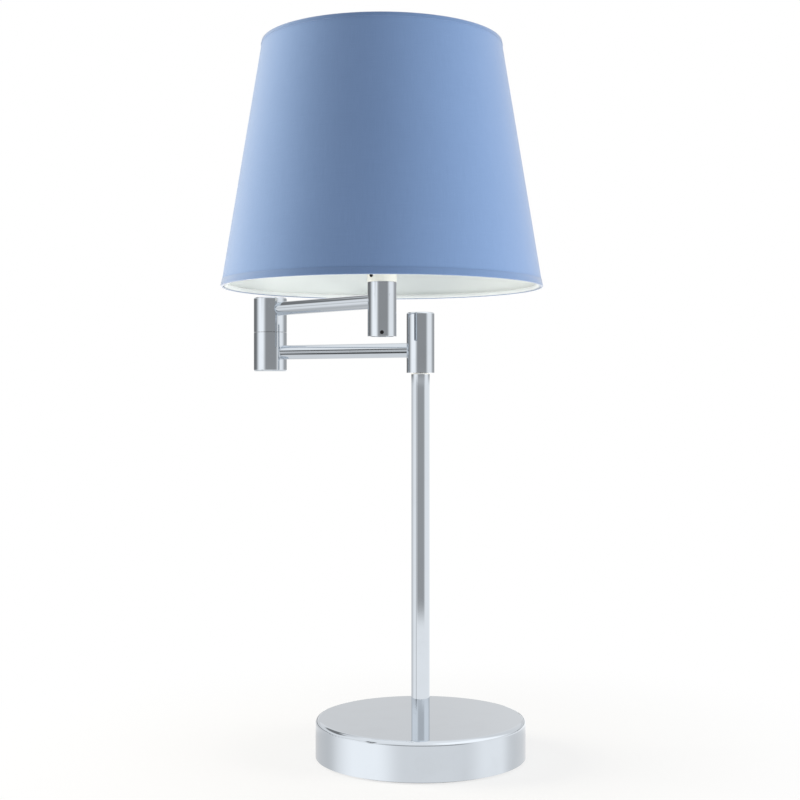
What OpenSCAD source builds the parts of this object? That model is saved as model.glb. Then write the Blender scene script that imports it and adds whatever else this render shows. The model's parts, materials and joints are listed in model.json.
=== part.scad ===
// Swing-arm table lamp: weighted round base, post, two-piece folding arm,
// screw lampholder and a tapered fabric drum shade. Millimetres, +Z up.
// The origin is the centre of the resting face, on the post's axis.

/* [Base] */
// Diameter of the round base
base_d = 170; // [140:1:210]
// Height of the base above the table
base_h = 32; // [28:1:42]
// Rounding of the cover's top edge
base_edge_r = 3.5; // [2:0.5:5]
// Sheet thickness of the base cover
cover_wall = 1.5; // [1:0.1:2]
// Gap under the cover's rim
cover_lift = 1.2; // [0.8:0.1:2]
// Thickness of the felt pad
pad_t = 2.7; // [2:0.1:4]
// Thickness of the bottom plate
plate_t = 1.2; // [0.8:0.1:2]
// Diameter of the wiring recess in the weight
recess_d = 56; // [52:1:64]
// Depth of the wiring recess in the weight
recess_h = 14; // [13:0.5:18]
// Diameter of the bore for the mains lead
inlet_bore_d = 6.4; // [5:0.1:7]
// Length of the inlet gland's barrel
gland_len = 15; // [10:1:20]
// Circle of the bottom plate's screws
plate_screw_circle_d = 120; // [80:1:130]

/* [Post] */
// Diameter of the post
post_d = 15; // [13:0.5:19]
// Wall of the post tube
post_wall = 1.2; // [1:0.1:1.5]
// Length of the post above the base
post_len = 277.8; // [200:1:360]
// Diameter of the turning hub on the post
hub_d = 22.5; // [21:0.5:28]
// Height of the turning hub
hub_h = 49; // [42:1:60]
// Height of the lower arm's axis above the hub's underside
lower_arm_rise = 18.5; // [14:0.5:24]

/* [Arms] */
// Distance between the axes at the ends of each arm
arm_len = 142; // [110:1:180]
// Diameter of the lower arm
lower_arm_d = 12; // [10:0.5:13]
// Diameter of the upper arm
upper_arm_d = 11.5; // [10:0.5:13]
// Wall of both arm tubes
arm_wall = 1; // [0.8:0.1:1.4]
// Direction of the lower arm seen from above, at rest
lower_arm_angle = 153.9; // [0:0.1:360]
// Angle between the two arms at rest
fold_angle = 20.9; // [15:0.1:180]

/* [Elbow] */
// Diameter of the elbow
elbow_d = 28; // [26:0.5:36]
// Height of the elbow's lower can
elbow_lower_h = 33.05; // [28:0.05:40]
// Height of the elbow's upper can
elbow_upper_h = 29.65; // [28:0.05:38]
// Distance from the lower can's underside to the lower arm's axis
elbow_drop = 16; // [12:0.5:18]
// Distance from the upper can's top to the upper arm's axis
upper_arm_below_top = 10; // [9:0.5:12]
// Visible gap between the two cans
seam_gap = 0.3; // [0.3:0.05:0.6]

/* [Lampholder] */
// Diameter of the hub under the lampholder
holder_hub_d = 22.5; // [21:0.5:28]
// Height of the hub under the lampholder
holder_hub_h = 42.3; // [36:0.1:46]
// Height of the holder hub's top above the upper arm's axis
holder_rise = 14.5; // [13.5:0.5:18]
// Length of the lampholder's lower half
holder_cap_h = 24.5; // [22:0.5:30]
// Length of the lampholder's threaded upper half
holder_skirt_h = 31.5; // [28:0.5:36]
// Diameter of the lampholder's threaded upper half
holder_skirt_d = 28; // [26:0.5:32]

/* [Shade] */
// Diameter of the shade's lower rim
shade_bottom_d = 250; // [200:1:300]
// Diameter of the shade's upper rim
shade_top_d = 187; // [150:1:240]
// Height of the shade
shade_h = 190; // [150:1:230]
// How far the shade's lower rim hangs below the holder hub's top
shade_drop = 4; // [0:0.5:4]
// Thickness of the fabric cover
fabric_t = 0.5; // [0.3:0.1:0.8]
// Thickness of the stiff liner
liner_t = 0.8; // [0.5:0.1:1.2]
// Height of the folded hems
hem_h = 5; // [3:0.5:8]
// Thickness of the folded hems
hem_t = 0.4; // [0.2:0.1:0.6]
// Diameter of the frame wire
wire_d = 2.8; // [2:0.1:3.5]

/* [Bulb] */
// Diameter of the globe bulb
bulb_d = 45; // [35:1:60]
// Height of the globe's centre above the lampholder's mouth
bulb_rise = 33; // [30:1:45]

/* [Hidden] */
$fn = 96;

// Clearances
running = 0.05;      // radial, between a shaft and the bush it turns in
seat = 0.05;         // radial, between pieces fixed to each other
axial = 0.2;         // along a pivot's axis, between pieces that turn past each other
cut = 1;             // how far a cutting tool runs past a face

// Small hardware
lead_d = 4.4;
m10_d = 10;
m10_bore_d = 7;
m10_nut_af = 17;
m10_nut_t = 6;
base_washer_d = 30;
base_washer_t = 2;
nipple_stub = 1;
screw_d = 4;
screw_head_d = 8;
screw_head_t = 1.6;
screw_len = 8;
plate_screw_count = 3;
foot_plug_h = 20;

// Base, from the table up
plate_z = pad_t;
weight_z = plate_z + plate_t;
weight_top = base_h - cover_wall - seat;
cover_r = base_d / 2;
weight_r = cover_r - cover_wall - cover_wall;
recess_top = weight_z + recess_h;
base_nut_z = recess_top - base_washer_t - m10_nut_t;
inlet_z = weight_z + gland_flange_r();
gland_r = inlet_bore_d / 2 + 1.3;
gland_flange_t = 2;
channel_w = 2 * gland_r + 2;
channel_top = inlet_z + gland_r + 1.5;
terminal_l = 18;
terminal_w = 11;
terminal_h = 9;
terminal_y = recess_d / 2 - 8;
terminal_z = weight_z + 0.7;
lead_floor = weight_z + lead_d / 2 + 0.4;
earth_x = -18;
earth_y = -9;

// Post and turning hub
post_inner_r = post_d / 2 - post_wall;
post_top = base_h + post_len;
bush_flange_t = 1;
bush_len = 26.8;
spigot_r = 4;
spigot_bore_r = 2.7;
spigot_flange_r = 7.5;
spigot_flange_t = 3;
spigot_washer_t = 1.2;
spigot_nut_t = 4;
spigot_nut_af = 10.4;
hub_wall = 2;
hub_floor = 3;
cap_t = 3;
cap_edge_r = 1.2;
cap_spigot_h = 3;
hub_r = hub_d / 2;
hub_z = post_top + bush_flange_t + axial;
hub_top = hub_z + hub_h;
bush_z = post_top - bush_len;
post_orbit_r = (spigot_r + post_inner_r) / 2;
post_groove_w = 1.2;
post_groove_depth = 3;
post_pin_r = 0.5;
post_key_w = 2;
pin_relief = 0.4;    // space left under a stop pin's tip

// Arms
lower_arm_z = hub_z + lower_arm_rise;
elbow_x = arm_len * cos(lower_arm_angle);
elbow_y = arm_len * sin(lower_arm_angle);
upper_arm_angle = lower_arm_angle + 180 - fold_angle;
holder_x = elbow_x + arm_len * cos(upper_arm_angle);
holder_y = elbow_y + arm_len * sin(upper_arm_angle);
tube_inset = 1.8;    // how far a tube's end stands inside the can it is fixed in

// Elbow
elbow_r = elbow_d / 2;
elbow_wall = 2;
elbow_floor = 3;
elbow_z = lower_arm_z - elbow_drop;
seam_z = elbow_z + elbow_lower_h;
elbow_upper_z = seam_z + seam_gap;
elbow_top = elbow_upper_z + elbow_upper_h;
upper_arm_z = elbow_top - upper_arm_below_top;
spindle_r = 5;
spindle_bore_r = 3;
spindle_head_r = 8;
spindle_head_t = 3;
seam_washer_r = 8;
seam_washer_t = 0.9;
elbow_bush_r = 6.5;
elbow_bush_flange_t = 1;
elbow_spring_t = 1.5;
elbow_nut_t = 5;
elbow_nut_af = 14;
elbow_orbit_r = (seam_washer_r + elbow_r) / 2 - 1;
elbow_groove_w = 2.4;
elbow_groove_depth = 2;
elbow_pin_r = 1;
elbow_key_w = 2.4;
elbow_bush_top = elbow_upper_z + elbow_floor + elbow_bush_flange_t;
elbow_nut_z = elbow_bush_top + running + elbow_spring_t;

// Holder hub and lampholder
holder_r = holder_hub_d / 2;
holder_wall = 2;
holder_ceiling = 3.5;
holder_top = upper_arm_z + holder_rise;
holder_z = holder_top - holder_hub_h;
nipple_nut_t = 4;
nipple_nut_af = 14;
plug_t = 5;
plug_inset = 0.5;
grub_r = 1.5;
grub_socket_r = 0.9;
grub_z = holder_z + 2.8;
cap_foot_r = 11.6;
cap_foot_h = 7;
cap_boss_h = 10;
cap_wall = 1.8;
shoulder_r = 18;
shoulder_t = 2.5;
holder_cap_top = holder_top + holder_cap_h;
skirt_r = holder_skirt_d / 2;
skirt_wall = 2;
skirt_tenon_h = 8;
mouth_z = holder_cap_top + holder_skirt_h;
carrier_r = 20;
carrier_t = 1.5;
ring_nut_r = 19;
ring_nut_h = 6;
ring_nut_z = holder_cap_top + carrier_t;
core_h = 12;
core_top = ring_nut_z + 4;
shell_r = 8;
shell_wall = 0.7;
contact_r = 2.5;
contact_h = 2.5;
lock_screw_angle = 225;
grub_angle = 270;

// Bulb
bulb_r = bulb_d / 2;
bulb_z = mouth_z + bulb_rise;
bulb_neck_r = 9.3;
bulb_neck_z = mouth_z - 5;
bulb_thread_r = 6.95;
bulb_glass_t = 1;
bulb_skirt_h = 3;
bulb_tip_h = 1.5;

// Shade
shade_z = holder_top - shade_drop;
shade_top = shade_z + shade_h;
wire_r = wire_d / 2;
spoke_count = 3;
spoke_r = 1.25;
spoke_angle = 90;
weld_depth = 0.6;    // how far a spoke's end is sunk into the ring by its weld
bottom_ring_z = shade_z + wire_r + 0.4;
top_ring_z = shade_top - wire_r - 0.4;
function gland_flange_r() = inlet_bore_d / 2 + 3.3;
function cover_radius(z) = (shade_bottom_d + (shade_top_d - shade_bottom_d) * (z - shade_z) / shade_h) / 2;
function liner_inner_r(z) = cover_radius(z) - fabric_t - seat - liner_t;
function wire_orbit(z) = liner_inner_r(z) - wire_r - 2 * seat;

// ---------- shared shapes ----------

// A tube on the Z axis
module ring(outer_r, inner_r, z0, z1) {
    difference() {
        translate([0, 0, z0]) cylinder(r = outer_r, h = z1 - z0);
        translate([0, 0, z0 - cut]) cylinder(r = inner_r, h = z1 - z0 + 2 * cut);
    }
}

// A disc whose upper edge is rounded
module rounded_puck(r, z0, z1, edge_r) {
    rotate_extrude() {
        translate([0, z0]) square([r - edge_r, z1 - z0]);
        translate([0, z0]) square([r, z1 - z0 - edge_r]);
        translate([r - edge_r, z1 - edge_r]) circle(r = edge_r);
    }
}

// A hex nut
module hex_nut(af, bore_r, z0, z1) {
    difference() {
        translate([0, 0, z0]) cylinder(r = af / 2 / cos(30), h = z1 - z0, $fn = 6);
        translate([0, 0, z0 - cut]) cylinder(r = bore_r, h = z1 - z0 + 2 * cut);
    }
}

// A ring-shaped wire
module wire_ring(orbit_r, z, r) {
    translate([0, 0, z]) rotate_extrude() translate([orbit_r, 0]) circle(r = r, $fn = 32);
}

// A rod between two points
module rod(a, b, d) {
    v = b - a;
    translate(a)
        rotate([0, acos(v[2] / norm(v)), atan2(v[1], v[0])])
            cylinder(d = d, h = norm(v), $fn = 32);
}

// A lead that follows a row of points
module lead(points) {
    color("gainsboro") {
        for (i = [1 : len(points) - 1]) rod(points[i - 1], points[i], lead_d);
        for (i = [1 : len(points) - 2]) translate(points[i]) sphere(d = lead_d + 0.1, $fn = 32);
    }
}

// A bar along +X from x0 to x1 at height z
module bar(r, x0, x1, z) {
    translate([x0, 0, z]) rotate([0, 90, 0]) cylinder(r = r, h = x1 - x0);
}

// A tube along +X from x0 to x1 at height z
module bar_tube(r, wall, x0, x1, z) {
    difference() {
        bar(r, x0, x1, z);
        bar(r - wall, x0 - cut, x1 + cut, z);
    }
}

// A grub screw along +X with a hex socket in its outer end
module grub_screw(x0, x1, z) {
    difference() {
        bar(grub_r, x0, x1, z);
        translate([x1 - grub_r, 0, z]) rotate([0, 90, 0]) cylinder(r = grub_socket_r, h = 2 * grub_r, $fn = 6);
    }
}

// The arc that a stop pin runs in: a ring broken by the key that stops it
module stop_groove(orbit_r, width, z0, z1, key_w, key_angle) {
    difference() {
        ring(orbit_r + width / 2, orbit_r - width / 2, z0, z1);
        rotate([0, 0, key_angle])
            translate([0, -key_w / 2, z0 - cut]) cube([2 * orbit_r, key_w, z1 - z0 + 2 * cut]);
    }
}

// A polar copy of the children on a circle
module around(count, radius, start) {
    for (i = [0 : count - 1]) rotate([0, 0, start + i * 360 / count]) translate([radius, 0, 0]) children();
}

module at_elbow() translate([elbow_x, elbow_y, 0]) children();
module at_holder() translate([holder_x, holder_y, 0]) children();

// ---------- base ----------

// Pressed and plated steel cover
module base_cover() {
    color("silver") difference() {
        rounded_puck(cover_r, cover_lift, base_h, base_edge_r);
        translate([0, 0, -cover_wall])
            rounded_puck(cover_r - cover_wall, 0, base_h, base_edge_r - cover_wall + 0.5);
        translate([0, 0, base_h - 2 * cover_wall]) cylinder(d = m10_d + 4 * seat, h = 4 * cover_wall);
        translate([0, weight_r, inlet_z])
            rotate([-90, 0, 0]) cylinder(r = gland_r + seat, h = cover_r - weight_r + cut);
    }
}

// Cast iron disc with its wiring recess and lead channel
module base_weight() {
    color("dimgray") difference() {
        rounded_puck(weight_r, weight_z, weight_top, base_edge_r);
        translate([0, 0, weight_z - cut]) cylinder(d = recess_d, h = recess_h + cut);
        cylinder(d = m10_d + 1, h = base_h);
        translate([-channel_w / 2, 0, weight_z - cut])
            cube([channel_w, weight_r + cut, channel_top - weight_z + cut]);
        around(plate_screw_count, plate_screw_circle_d / 2, spoke_angle + 180)
            cylinder(d = screw_d + 2 * seat, h = plate_z + screw_len + cut);
        translate([earth_x, earth_y, 0]) cylinder(d = screw_d + 2 * seat, h = recess_top + screw_len / 2);
    }
}

// Steel plate that closes the wiring recess
module bottom_plate() {
    color("lightslategray") difference() {
        translate([0, 0, plate_z]) cylinder(r = weight_r, h = plate_t);
        around(plate_screw_count, plate_screw_circle_d / 2, spoke_angle + 180)
            cylinder(d = screw_d + 4 * seat, h = base_h);
    }
}

// Pan-head screws that hold the bottom plate to the weight
module bottom_plate_screws() {
    color("slategray") around(plate_screw_count, plate_screw_circle_d / 2, spoke_angle + 180) {
        translate([0, 0, plate_z]) cylinder(d = screw_d, h = screw_len);
        difference() {
            translate([0, 0, plate_z - screw_head_t]) cylinder(d = screw_head_d, h = screw_head_t);
            for (a = [0, 90]) rotate([0, 0, a])
                translate([-screw_head_d * 0.3, -0.5, plate_z - screw_head_t - cut])
                    cube([screw_head_d * 0.6, 1, cut + 0.9]);
        }
    }
}

// Felt pad under the base, with a hole round each screw head
module base_pad() {
    color("darkslategray") difference() {
        cylinder(r = weight_r, h = pad_t);
        around(plate_screw_count, plate_screw_circle_d / 2, spoke_angle + 180)
            translate([0, 0, -cut]) cylinder(d = screw_head_d + 1, h = pad_t + 2 * cut);
    }
}

// Moulded gland that guides the mains lead through the cover's rear
module cord_gland() {
    color("whitesmoke") translate([0, 0, inlet_z]) rotate([-90, 0, 0]) difference() {
        union() {
            translate([0, 0, cover_r - gland_len]) cylinder(r = gland_r, h = gland_len + seat);
            translate([0, 0, cover_r + seat]) cylinder(r = gland_flange_r(), h = gland_flange_t);
        }
        translate([0, 0, cover_r - gland_len - cut])
            cylinder(d = inlet_bore_d, h = gland_len + gland_flange_t + 2 * cut);
    }
}

// Two-pole terminal block in the wiring recess
module terminal_block() {
    color("ivory") difference() {
        translate([-terminal_l / 2, terminal_y - terminal_w / 2, terminal_z])
            cube([terminal_l, terminal_w, terminal_h]);
        for (side = [-1, 1]) translate([side * terminal_l / 4, terminal_y, terminal_z - cut])
            cylinder(d = 3.6, h = 6);
        for (side = [-1, 1]) translate([side * terminal_l / 4, terminal_y - terminal_w, terminal_z + 6.5])
            rotate([-90, 0, 0]) cylinder(d = 2.6, h = 2 * terminal_w);
    }
}

// Brass earth screw in the weight
module earth_screw() {
    color("goldenrod") translate([earth_x, earth_y, 0]) {
        translate([0, 0, recess_top]) cylinder(d = screw_d, h = screw_len / 2 - cut);
        difference() {
            translate([0, 0, recess_top - screw_head_t - 1]) cylinder(d = screw_head_d, h = screw_head_t + 1);
            translate([-screw_head_d, -0.6, recess_top - screw_head_t - 1 - cut])
                cube([2 * screw_head_d, 1.2, cut + 1]);
        }
    }
}

// ---------- post ----------

// Chromed post tube
module post_tube() {
    color("silver") ring(post_d / 2, post_inner_r, base_h, post_top);
}

// Tapped plug in the foot of the post
module post_foot_plug() {
    color("lightslategray")
        ring(post_inner_r - seat, m10_d / 2 + seat, base_h, base_h + foot_plug_h);
}

// Threaded tube that ties the post, the cover and the weight together
module base_nipple() {
    color("gainsboro")
        ring(m10_d / 2, m10_bore_d / 2, base_nut_z - nipple_stub, base_h + foot_plug_h - cut);
}

module base_washer() {
    color("gray") ring(base_washer_d / 2, m10_d / 2 + 4 * seat, recess_top - base_washer_t, recess_top);
}

module base_nut() {
    color("lightgray") hex_nut(m10_nut_af, m10_d / 2 + seat, base_nut_z, base_nut_z + m10_nut_t);
}

// Nylon bush in the post's mouth, with the arc that the stop pin runs in
module post_bush() {
    color("white") difference() {
        union() {
            ring(post_inner_r - seat, spigot_r + running, bush_z, post_top);
            ring(post_d / 2, spigot_r + running, post_top, post_top + bush_flange_t);
        }
        stop_groove(post_orbit_r, post_groove_w, post_top + bush_flange_t - post_groove_depth,
            post_top + bush_flange_t + cut, post_key_w, lower_arm_angle);
    }
}

// Two-core lead from the terminal block up to the hub's pivot
module post_lead() {
    lead([
        [0, terminal_y - terminal_w / 2 - seat, lead_floor],
        [0, 0, lead_floor],
        [0, 0, hub_z - axial]
    ]);
}

// ---------- lower arm ----------

// Turned and plated hub that turns on the post
module post_hub() {
    color("silver") difference() {
        translate([0, 0, hub_z]) cylinder(r = hub_r, h = hub_h - cap_t);
        translate([0, 0, hub_z + hub_floor]) cylinder(r = hub_r - hub_wall, h = hub_h);
        translate([0, 0, hub_z - cut]) cylinder(r = spigot_r + seat, h = hub_floor + 2 * cut);
        rotate([0, 0, lower_arm_angle + 180])
            translate([post_orbit_r, 0, hub_z - cut]) cylinder(r = post_pin_r + 0.02, h = hub_floor + 2 * cut);
        rotate([0, 0, lower_arm_angle]) bar(lower_arm_d / 2 + seat, 0, hub_r + cut, lower_arm_z);
    }
}

// Pressed cap on the post hub
module post_hub_cap() {
    color("silver") {
        rounded_puck(hub_r, hub_top - cap_t, hub_top, cap_edge_r);
        translate([0, 0, hub_top - cap_t - cap_spigot_h])
            cylinder(r = hub_r - hub_wall - seat, h = cap_spigot_h);
    }
}

// Hollow spigot that hangs in the post's bush
module pivot_spigot() {
    tip_z = bush_z - axial - spigot_washer_t - spigot_nut_t - cut;
    color("gainsboro") {
        ring(spigot_r, spigot_bore_r, tip_z, hub_z + hub_floor + spigot_flange_t);
        ring(spigot_flange_r, spigot_bore_r, hub_z + hub_floor, hub_z + hub_floor + spigot_flange_t);
    }
}

// Spring washer that loads the post pivot
module spigot_spring_washer() {
    color("slategray") ring(post_inner_r - 0.4, spigot_r + seat,
        bush_z - axial - spigot_washer_t, bush_z - axial);
}

module spigot_nut() {
    nut_top = bush_z - axial - spigot_washer_t;
    color("lightgray") hex_nut(spigot_nut_af, spigot_r + seat, nut_top - spigot_nut_t, nut_top);
}

// Pin that stops the hub at each end of its turn
module post_stop_pin() {
    tip_z = post_top + bush_flange_t - post_groove_depth + pin_relief;
    color("gray") rotate([0, 0, lower_arm_angle + 180]) translate([post_orbit_r, 0, tip_z])
        cylinder(r = post_pin_r, h = hub_z + hub_floor - tip_z, $fn = 32);
}

module lower_arm_tube() {
    color("silver") rotate([0, 0, lower_arm_angle])
        bar_tube(lower_arm_d / 2, arm_wall, hub_r - hub_wall - tube_inset,
            arm_len - elbow_r + elbow_wall + tube_inset / 2, lower_arm_z);
}

// Lower can of the elbow
module elbow_lower() {
    color("silver") difference() {
        at_elbow() difference() {
            translate([0, 0, elbow_z + cap_t]) cylinder(r = elbow_r, h = elbow_lower_h - cap_t);
            translate([0, 0, elbow_z]) cylinder(r = elbow_r - elbow_wall, h = elbow_lower_h - elbow_floor);
            translate([0, 0, elbow_z]) cylinder(r = spindle_r + seat, h = elbow_lower_h + cut);
            stop_groove(elbow_orbit_r, elbow_groove_w, seam_z - elbow_groove_depth, seam_z + cut,
                elbow_key_w, lower_arm_angle);
        }
        rotate([0, 0, lower_arm_angle])
            bar(lower_arm_d / 2 + seat, arm_len - elbow_r - cut, arm_len, lower_arm_z);
    }
}

// Pressed cap under the elbow
module elbow_lower_cap() {
    color("silver") at_elbow() {
        translate([0, 0, 2 * elbow_z + cap_t]) mirror([0, 0, 1])
            rounded_puck(elbow_r, elbow_z, elbow_z + cap_t, cap_edge_r);
        translate([0, 0, elbow_z + cap_t]) cylinder(r = elbow_r - elbow_wall - seat, h = cap_spigot_h);
    }
}

// Nylon friction washer between the two cans
module elbow_seam_washer() {
    color("white") at_elbow()
        ring(seam_washer_r, spindle_r + seat, seam_z, seam_z + seam_washer_t);
}

// Hollow bolt that the elbow turns on
module elbow_spindle() {
    head_top = seam_z - elbow_floor;
    color("gainsboro") at_elbow() {
        ring(spindle_head_r, spindle_bore_r, head_top - spindle_head_t, head_top);
        ring(spindle_r, spindle_bore_r, head_top - spindle_head_t, elbow_nut_z + elbow_nut_t + cut);
    }
}

// Spring washer that loads the elbow
module elbow_spring_washer() {
    color("slategray") at_elbow()
        ring(spindle_head_r, spindle_r + seat, elbow_nut_z - elbow_spring_t, elbow_nut_z);
}

module elbow_nut() {
    color("lightgray") at_elbow()
        hex_nut(elbow_nut_af, spindle_r + seat, elbow_nut_z, elbow_nut_z + elbow_nut_t);
}

// Two-core lead from the hub's pivot along the arm to the elbow's pivot
module lower_arm_lead() {
    lead([
        [0, 0, hub_z],
        [0, 0, lower_arm_z],
        [elbow_x, elbow_y, lower_arm_z],
        [elbow_x, elbow_y, seam_z]
    ]);
}

// ---------- upper arm ----------

// Upper can of the elbow
module elbow_upper() {
    color("silver") at_elbow() difference() {
        translate([0, 0, elbow_upper_z]) cylinder(r = elbow_r, h = elbow_upper_h - cap_t);
        translate([0, 0, elbow_upper_z + elbow_floor]) cylinder(r = elbow_r - elbow_wall, h = elbow_upper_h);
        translate([0, 0, elbow_upper_z - cut]) cylinder(r = elbow_bush_r + seat, h = elbow_floor + 2 * cut);
        translate([0, 0, elbow_upper_z - cut])
            cylinder(r = seam_washer_r + axial, h = cut + seam_washer_t - seam_gap + running);
        rotate([0, 0, upper_arm_angle + 180]) translate([elbow_orbit_r, 0, elbow_upper_z - cut])
            cylinder(r = elbow_pin_r + 0.02, h = elbow_floor + 2 * cut);
        rotate([0, 0, upper_arm_angle]) bar(upper_arm_d / 2 + seat, 0, elbow_r + cut, upper_arm_z);
    }
}

// Pressed cap on the elbow
module elbow_upper_cap() {
    color("silver") at_elbow() {
        rounded_puck(elbow_r, elbow_top - cap_t, elbow_top, cap_edge_r);
        translate([0, 0, elbow_top - cap_t - 0.5]) cylinder(r = elbow_r - elbow_wall - seat, h = 0.5);
    }
}

// Flanged nylon bush that the upper can turns on
module elbow_bush() {
    color("white") at_elbow() {
        ring(elbow_bush_r, spindle_r + running, seam_z + seam_washer_t + running, elbow_upper_z + elbow_floor);
        ring(spindle_head_r, spindle_r + running, elbow_upper_z + elbow_floor, elbow_bush_top);
    }
}

// Pin that stops the elbow before the two hubs meet
module elbow_stop_pin() {
    tip_z = seam_z - elbow_groove_depth + pin_relief;
    color("gray") at_elbow() rotate([0, 0, upper_arm_angle + 180]) translate([elbow_orbit_r, 0, tip_z])
        cylinder(r = elbow_pin_r, h = elbow_upper_z + elbow_floor - tip_z, $fn = 32);
}

module upper_arm_tube() {
    color("silver") at_elbow() rotate([0, 0, upper_arm_angle])
        bar_tube(upper_arm_d / 2, arm_wall, elbow_r - elbow_wall - tube_inset / 2,
            arm_len - holder_r + holder_wall + tube_inset, upper_arm_z);
}

// Turned and plated hub under the lampholder
module holder_hub() {
    color("silver") difference() {
        at_holder() difference() {
            translate([0, 0, holder_z]) cylinder(r = holder_r, h = holder_hub_h);
            translate([0, 0, holder_z - cut])
                cylinder(r = holder_r - holder_wall, h = holder_hub_h - holder_ceiling + cut);
            translate([0, 0, holder_z]) cylinder(r = m10_d / 2 + seat, h = holder_hub_h + cut);
            rotate([0, 0, grub_angle]) bar(grub_r + seat, 0, holder_r + cut, grub_z);
        }
        at_elbow() rotate([0, 0, upper_arm_angle])
            bar(upper_arm_d / 2 + seat, arm_len - holder_r - cut, arm_len, upper_arm_z);
    }
}

// Plug that closes the holder hub's underside
module holder_hub_plug() {
    color("silver") at_holder() difference() {
        translate([0, 0, holder_z + plug_inset]) cylinder(r = holder_r - holder_wall - seat, h = plug_t);
        rotate([0, 0, grub_angle]) bar(grub_r + seat, holder_r / 2 - seat, holder_r, grub_z);
    }
}

// Grub screw that holds the plug
module holder_grub_screw() {
    color("black") at_holder() rotate([0, 0, grub_angle]) grub_screw(holder_r / 2, holder_r - 0.1, grub_z);
}

// Threaded tube between the hub and the lampholder
module holder_nipple() {
    color("gainsboro") at_holder()
        ring(m10_d / 2, m10_bore_d / 2, holder_top - holder_ceiling - nipple_nut_t, holder_top + cap_boss_h);
}

module holder_nipple_nut() {
    nut_top = holder_top - holder_ceiling;
    color("lightgray") at_holder() hex_nut(nipple_nut_af, m10_d / 2 + seat, nut_top - nipple_nut_t, nut_top);
}

// Lower half of the lampholder: a flaring dome with the shoulder that the shade sits on
module lampholder_cap() {
    color("antiquewhite") at_holder() difference() {
        rotate_extrude() polygon([
            [0, holder_top],
            [cap_foot_r - 1, holder_top],
            [cap_foot_r, holder_top + 1],
            [cap_foot_r, holder_top + cap_foot_h],
            [skirt_r + 0.5, holder_top + 2 * cap_foot_h],
            [skirt_r + 0.5, holder_cap_top - shoulder_t],
            [shoulder_r, holder_cap_top - shoulder_t],
            [shoulder_r, holder_cap_top],
            [0, holder_cap_top]
        ]);
        rotate_extrude() polygon([
            [0, holder_top + cap_boss_h],
            [cap_foot_r - cap_wall, holder_top + cap_boss_h],
            [skirt_r + 0.5 - cap_wall, holder_top + 2 * cap_foot_h],
            [skirt_r + 0.5 - cap_wall, holder_cap_top + cut],
            [0, holder_cap_top + cut]
        ]);
        translate([0, 0, holder_top - cut]) cylinder(r = m10_d / 2 + seat, h = holder_cap_h);
        rotate([0, 0, lock_screw_angle]) bar(grub_r + seat, 0, cap_foot_r + cut, holder_top + cap_boss_h / 2);
    }
}

// Grub screw that keeps the lampholder from unscrewing
module lampholder_lock_screw() {
    color("black") at_holder() rotate([0, 0, lock_screw_angle])
        grub_screw(m10_d / 2 + seat, cap_foot_r + 0.6, holder_top + cap_boss_h / 2);
}

// Upper half of the lampholder, threaded outside for the ring nut
module lampholder_skirt() {
    color("antiquewhite") at_holder() {
        ring(skirt_r, skirt_r - skirt_wall, holder_cap_top, mouth_z);
        ring(skirt_r + 0.5 - cap_wall - seat, skirt_r - skirt_wall, holder_cap_top - skirt_tenon_h,
            holder_cap_top);
    }
}

// Insulating core that carries the contacts
module lampholder_core() {
    color("ivory") at_holder() translate([0, 0, core_top - core_h])
        cylinder(r = skirt_r - skirt_wall - 4 * seat, h = core_h);
}

module lampholder_screw_shell() {
    color("goldenrod") at_holder() ring(shell_r, shell_r - shell_wall, core_top, bulb_neck_z - bulb_skirt_h);
}

module lampholder_contact() {
    color("goldenrod") at_holder() translate([0, 0, core_top]) cylinder(r = contact_r, h = contact_h);
}

// Ring nut that clamps the shade's carrier on the lampholder's shoulder
module shade_ring_nut() {
    color("antiquewhite") at_holder() difference() {
        ring(ring_nut_r, skirt_r + seat, ring_nut_z, ring_nut_z + ring_nut_h);
        around(24, ring_nut_r + 0.3, 0) translate([0, 0, ring_nut_z - cut])
            cylinder(r = 0.8, h = ring_nut_h + 2 * cut, $fn = 24);
    }
}

// Carrier ring with the three spokes that are welded to the lower ring
module shade_spider() {
    spoke_end = wire_orbit(bottom_ring_z) - wire_r + weld_depth;
    color("white") at_holder() {
        ring(carrier_r, skirt_r + 6 * seat, holder_cap_top, holder_cap_top + carrier_t);
        for (i = [0 : spoke_count - 1]) rotate([0, 0, spoke_angle + i * 360 / spoke_count])
            rod([carrier_r - spoke_r, 0, holder_cap_top + carrier_t / 2], [spoke_end, 0, bottom_ring_z],
                2 * spoke_r);
    }
}

module shade_bottom_ring() {
    color("white") at_holder() wire_ring(wire_orbit(bottom_ring_z), bottom_ring_z, wire_r);
}

module shade_top_ring() {
    color("white") at_holder() wire_ring(wire_orbit(top_ring_z), top_ring_z, wire_r);
}

// A conical band between two heights, from one offset off the fabric's face to another
module shade_band(z0, z1, inner, outer) {
    rotate_extrude() polygon([
        [cover_radius(z0) + inner, z0],
        [cover_radius(z0) + outer, z0],
        [cover_radius(z1) + outer, z1],
        [cover_radius(z1) + inner, z1]
    ]);
}

// Stiff white liner that the fabric is bonded to
module shade_liner() {
    color("ghostwhite") at_holder()
        shade_band(shade_z, shade_top, -fabric_t - seat - liner_t, -fabric_t - seat);
}

// Blue fabric cover
module shade_cover() {
    color("steelblue") at_holder() shade_band(shade_z, shade_top, -fabric_t, 0);
}

// Folded hems along both rims
module shade_hems() {
    color("steelblue") at_holder() {
        shade_band(shade_z, shade_z + hem_h, seat, hem_t);
        shade_band(shade_top - hem_h / 2, shade_top, seat, hem_t);
    }
}

// ---------- bulb ----------

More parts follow.
